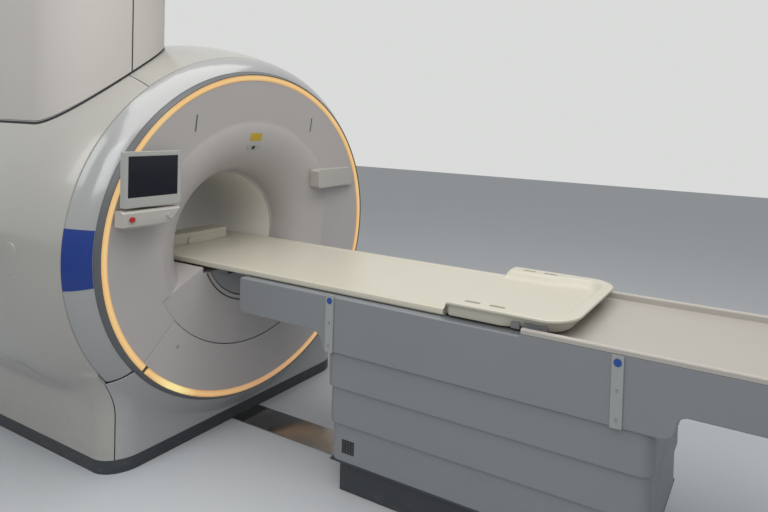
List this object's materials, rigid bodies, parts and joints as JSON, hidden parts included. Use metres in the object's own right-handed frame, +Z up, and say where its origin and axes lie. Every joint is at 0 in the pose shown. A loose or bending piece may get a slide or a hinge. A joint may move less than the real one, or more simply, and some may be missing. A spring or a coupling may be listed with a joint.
{
  "type": "mri scanner",
  "caption": "Whole-body MRI scanner: round magnet with a lit front ring and patient bore, service tower, and a lifting patient table with a sliding tabletop.",
  "frame": {"origin": "on the floor, straight below the front ring's plane, on the mirror plane of bore and table", "axes": "+Z up, +Y into the bore along the patient axis, +X to the right seen from the table"},
  "size_m": [2.0399, 4.264, 2.6],
  "materials": {
    "vessel_metal": "satin",
    "coil_epoxy": "matte",
    "foot_iron": "satin",
    "frame_metal": "satin",
    "liner_plastic": "satin",
    "bridge_grey": "satin",
    "cover_satin": "satin",
    "band_gloss": "glossy",
    "bezel_dark": "satin",
    "ring_light": "lit diffuser",
    "badge_blue": "satin",
    "side_gloss": "glossy",
    "plinth_dark": "matte",
    "tower_matte": "matte",
    "pipe_steel": "brushed",
    "display_frame": "satin",
    "screen_glass": "glossy",
    "panel_grey": "satin",
    "button_red": "glossy",
    "knob_grey": "satin",
    "trim_black": "matte",
    "label_yellow": "satin",
    "top_cream": "satin",
    "beam_grey": "satin",
    "body_paint": "satin",
    "track_metal": "satin",
    "bracket_metal": "satin",
    "screw_steel": "satin",
    "disc_blue": "satin",
    "motor_dark": "satin",
    "belt_rubber": "matte",
    "column_metal": "satin",
    "floor_steel": "polished"
  },
  "bodies": {
    "magnet": {"magnet_vessel": "vessel_metal", "magnet_turret": "vessel_metal", "gradient_coil": "coil_epoxy", "body_coil": "coil_epoxy", "magnet_feet": "foot_iron", "cover_frame": "frame_metal", "bore_liner": "liner_plastic", "bore_bridge": "bridge_grey", "docking_collar": "bridge_grey", "front_cover": "cover_satin", "lower_shroud": "cover_satin", "base_front_cover": "cover_satin", "front_band": "band_gloss", "ring_bezel": "bezel_dark", "light_ring_upper": "ring_light", "light_ring_lower": "ring_light", "band_badge": "badge_blue", "side_cover_left": "side_gloss", "side_cover_right": "side_gloss", "top_cover": "side_gloss", "rear_cover": "cover_satin", "plinth": "plinth_dark", "access_cap_left": "side_gloss", "access_cap_right": "side_gloss", "tower_side_panel": "tower_matte", "tower_front_panel": "tower_matte", "tower_cap": "tower_matte", "vent_pipe": "pipe_steel", "display_housing": "display_frame", "display_screen": "screen_glass", "control_panel": "panel_grey", "right_control_box": "panel_grey", "slit_trims": "trim_black", "label_plate": "label_yellow", "laser_window": "trim_black", "cover_lock": "screw_steel", "skirt_3": "body_paint", "column_sleeves": "column_metal", "base_foot": "plinth_dark", "foot_grille": "trim_black", "floor_plate": "floor_steel"},
    "table_lift": {"upper_body": "body_paint", "slide_track": "track_metal", "slide_rails": "beam_grey", "deck": "top_cream", "side_brackets": "bracket_metal", "bracket_screws": "screw_steel", "bracket_discs": "disc_blue", "drive_motor": "motor_dark", "drive_belt": "belt_rubber", "lift_columns": "column_metal"},
    "skirt_upper": {"skirt_1": "body_paint"},
    "skirt_middle": {"skirt_2": "body_paint"},
    "table_slide": {"tabletop": "top_cream", "tabletop_beam": "beam_grey", "tabletop_end": "top_cream", "end_latch": "trim_black", "coil_base": "top_cream"},
    "alarm_button": {"alarm_button": "button_red"},
    "control_knob": {"control_knob": "knob_grey"}
  },
  "joints": [
    {"name": "table_lift", "type": "slide", "parent": "magnet", "child": "table_lift", "axis": [0, 0, 1], "range_m": [-0.03, 0]},
    {"name": "skirt_upper_travel", "type": "slide", "parent": "magnet", "child": "skirt_upper", "axis": [0, 0, 1], "range_m": [-0.02, 0]},
    {"name": "skirt_middle_travel", "type": "slide", "parent": "magnet", "child": "skirt_middle", "axis": [0, 0, 1], "range_m": [-0.01, 0]},
    {"name": "tabletop_travel", "type": "slide", "parent": "table_lift", "child": "table_slide", "axis": [0, 1, 0], "range_m": [-0.84, 0.6]},
    {"name": "alarm_button_press", "type": "slide", "parent": "magnet", "child": "alarm_button", "axis": [0, 1, 0], "range_m": [0, 0.003], "stiffness_N_per_m": 800, "springref_m": -0.001},
    {"name": "control_knob_turn", "type": "hinge", "parent": "magnet", "child": "control_knob", "pos_m": [-0.594, -0.0803, 1.188], "axis": [0, 1, 0], "range_deg": [-60, 60]}
  ],
  "couplings": [
    {"joint": "skirt_upper_travel", "follows": "table_lift", "ratio": 0.66667},
    {"joint": "skirt_middle_travel", "follows": "table_lift", "ratio": 0.33333}
  ]
}
